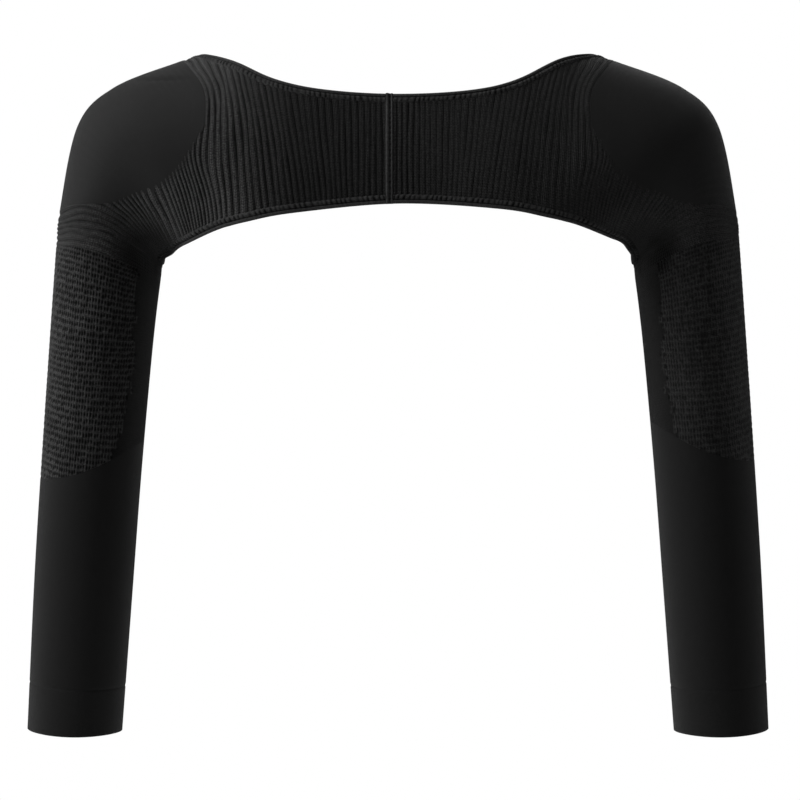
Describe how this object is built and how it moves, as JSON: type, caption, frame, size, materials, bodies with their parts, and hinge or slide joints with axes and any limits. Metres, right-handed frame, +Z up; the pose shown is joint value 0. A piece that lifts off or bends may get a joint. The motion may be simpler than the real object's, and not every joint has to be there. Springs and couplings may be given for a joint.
{
  "type": "arm compression sleeves joined by a back yoke",
  "caption": "Black knitted compression sleeves with smooth shoulder caps and mesh upper arms, joined across the upper back by a ribbed yoke with a centre seam and a turned hem.",
  "frame": {"origin": "middle of the back neck edge, where the garment sits on the nape of the neck", "axes": "+X toward the wearer's right arm, +Y the way the wearer faces, +Z up; -Y is the back, the side the picture shows"},
  "size_m": [0.476, 0.1305, 0.4348],
  "materials": {
    "plain_knit": "matt plain knit, black",
    "rib_knit": "matt rib knit, black",
    "mesh_knit": "matt open mesh knit, black",
    "edge_knit": "matt stitched double knit, black"
  },
  "bodies": {
    "root": {"centre_seam": "edge_knit", "left_yoke": "rib_knit", "right_yoke": "rib_knit", "left_shoulder_cap": "plain_knit", "right_shoulder_cap": "plain_knit", "left_upper_arm": "mesh_knit", "right_upper_arm": "mesh_knit", "left_forearm": "plain_knit", "right_forearm": "plain_knit", "left_cuff": "plain_knit", "right_cuff": "plain_knit", "left_hem": "edge_knit", "right_hem": "edge_knit"}
  },
  "joints": []
}
